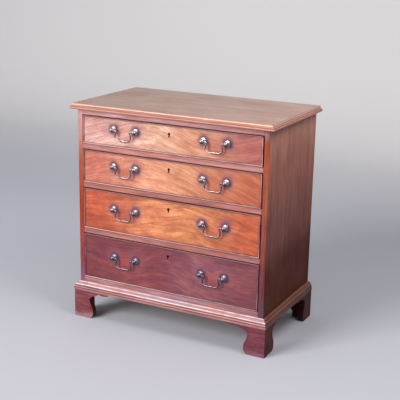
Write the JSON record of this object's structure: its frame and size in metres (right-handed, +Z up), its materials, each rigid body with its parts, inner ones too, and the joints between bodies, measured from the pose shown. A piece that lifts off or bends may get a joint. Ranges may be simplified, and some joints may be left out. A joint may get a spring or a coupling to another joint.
{
  "type": "bachelors chest",
  "caption": "Chest of graduated long drawers with a moulded top, cockbeaded fronts, swan-neck drop handles, locks, a base moulding and bracket feet.",
  "frame": {"origin": "on the floor under the middle of the chest's overall box", "axes": "+Z up, -Y out of the drawer fronts, +X to the right of someone facing them"},
  "size_m": [0.79, 0.447, 0.8095],
  "materials": {
    "mahogany": "satin",
    "drawer_front_veneer": "satin",
    "secondary_wood": "matte",
    "oak": "matte",
    "handle_brass": "satin",
    "lock_brass": "matte",
    "lock_iron": "matte"
  },
  "bodies": {
    "carcass": {"top_board": "mahogany", "left_side": "mahogany", "right_side": "mahogany", "bottom_board": "secondary_wood", "bottom_rail": "mahogany", "top_front_rail": "mahogany", "top_rear_rail": "secondary_wood", "drawer_rail_1": "mahogany", "drawer_rail_2": "mahogany", "drawer_rail_3": "mahogany", "drawer_runners": "secondary_wood", "dust_panels": "secondary_wood", "backboards": "secondary_wood", "drawer_stops": "secondary_wood", "base_moulding_front": "mahogany", "base_moulding_sides": "mahogany", "foot_front_left": "mahogany", "foot_front_right": "mahogany", "foot_rear_left": "mahogany", "foot_rear_right": "mahogany"},
    "drawer_1": {"drawer_1_front": "drawer_front_veneer", "drawer_1_sides": "oak", "drawer_1_back": "oak", "drawer_1_bottom": "oak", "drawer_1_cockbead": "mahogany", "drawer_1_lock": "lock_brass", "drawer_1_handle_posts": "handle_brass"},
    "drawer_1_left_handle": {"drawer_1_bail_left": "handle_brass"},
    "drawer_1_right_handle": {"drawer_1_bail_right": "handle_brass"},
    "drawer_1_bolt": {"drawer_1_lock_bolt": "lock_iron"},
    "drawer_2": {"drawer_2_front": "drawer_front_veneer", "drawer_2_sides": "oak", "drawer_2_back": "oak", "drawer_2_bottom": "oak", "drawer_2_cockbead": "mahogany", "drawer_2_lock": "lock_brass", "drawer_2_handle_posts": "handle_brass"},
    "drawer_2_left_handle": {"drawer_2_bail_left": "handle_brass"},
    "drawer_2_right_handle": {"drawer_2_bail_right": "handle_brass"},
    "drawer_2_bolt": {"drawer_2_lock_bolt": "lock_iron"},
    "drawer_3": {"drawer_3_front": "drawer_front_veneer", "drawer_3_sides": "oak", "drawer_3_back": "oak", "drawer_3_bottom": "oak", "drawer_3_cockbead": "mahogany", "drawer_3_lock": "lock_brass", "drawer_3_handle_posts": "handle_brass"},
    "drawer_3_left_handle": {"drawer_3_bail_left": "handle_brass"},
    "drawer_3_right_handle": {"drawer_3_bail_right": "handle_brass"},
    "drawer_3_bolt": {"drawer_3_lock_bolt": "lock_iron"},
    "drawer_4": {"drawer_4_front": "drawer_front_veneer", "drawer_4_sides": "oak", "drawer_4_back": "oak", "drawer_4_bottom": "oak", "drawer_4_cockbead": "mahogany", "drawer_4_lock": "lock_brass", "drawer_4_handle_posts": "handle_brass"},
    "drawer_4_left_handle": {"drawer_4_bail_left": "handle_brass"},
    "drawer_4_right_handle": {"drawer_4_bail_right": "handle_brass"},
    "drawer_4_bolt": {"drawer_4_lock_bolt": "lock_iron"}
  },
  "joints": [
    {"name": "drawer_1_slide", "type": "slide", "parent": "carcass", "child": "drawer_1", "axis": [0, -1, 0], "range_m": [0, 0.3]},
    {"name": "drawer_1_left_handle_swing", "type": "hinge", "parent": "drawer_1", "child": "drawer_1_left_handle", "pos_m": [-0.177, -0.2145, 0.72825], "axis": [-1, 0, 0], "range_deg": [-14, 150]},
    {"name": "drawer_1_right_handle_swing", "type": "hinge", "parent": "drawer_1", "child": "drawer_1_right_handle", "pos_m": [0.177, -0.2145, 0.72825], "axis": [-1, 0, 0], "range_deg": [-14, 150]},
    {"name": "drawer_1_bolt_throw", "type": "slide", "parent": "drawer_1", "child": "drawer_1_bolt", "axis": [0, 0, 1], "range_m": [0, 0.008]},
    {"name": "drawer_2_slide", "type": "slide", "parent": "carcass", "child": "drawer_2", "axis": [0, -1, 0], "range_m": [0, 0.3]},
    {"name": "drawer_2_left_handle_swing", "type": "hinge", "parent": "drawer_2", "child": "drawer_2_left_handle", "pos_m": [-0.177, -0.2145, 0.59475], "axis": [-1, 0, 0], "range_deg": [-14, 150]},
    {"name": "drawer_2_right_handle_swing", "type": "hinge", "parent": "drawer_2", "child": "drawer_2_right_handle", "pos_m": [0.177, -0.2145, 0.59475], "axis": [-1, 0, 0], "range_deg": [-14, 150]},
    {"name": "drawer_2_bolt_throw", "type": "slide", "parent": "drawer_2", "child": "drawer_2_bolt", "axis": [0, 0, 1], "range_m": [0, 0.008]},
    {"name": "drawer_3_slide", "type": "slide", "parent": "carcass", "child": "drawer_3", "axis": [0, -1, 0], "range_m": [0, 0.3]},
    {"name": "drawer_3_left_handle_swing", "type": "hinge", "parent": "drawer_3", "child": "drawer_3_left_handle", "pos_m": [-0.177, -0.2145, 0.437], "axis": [-1, 0, 0], "range_deg": [-14, 150]},
    {"name": "drawer_3_right_handle_swing", "type": "hinge", "parent": "drawer_3", "child": "drawer_3_right_handle", "pos_m": [0.177, -0.2145, 0.437], "axis": [-1, 0, 0], "range_deg": [-14, 150]},
    {"name": "drawer_3_bolt_throw", "type": "slide", "parent": "drawer_3", "child": "drawer_3_bolt", "axis": [0, 0, 1], "range_m": [0, 0.008]},
    {"name": "drawer_4_slide", "type": "slide", "parent": "carcass", "child": "drawer_4", "axis": [0, -1, 0], "range_m": [0, 0.3]},
    {"name": "drawer_4_left_handle_swing", "type": "hinge", "parent": "drawer_4", "child": "drawer_4_left_handle", "pos_m": [-0.177, -0.2145, 0.255], "axis": [-1, 0, 0], "range_deg": [-14, 150]},
    {"name": "drawer_4_right_handle_swing", "type": "hinge", "parent": "drawer_4", "child": "drawer_4_right_handle", "pos_m": [0.177, -0.2145, 0.255], "axis": [-1, 0, 0], "range_deg": [-14, 150]},
    {"name": "drawer_4_bolt_throw", "type": "slide", "parent": "drawer_4", "child": "drawer_4_bolt", "axis": [0, 0, 1], "range_m": [0, 0.008]}
  ]
}
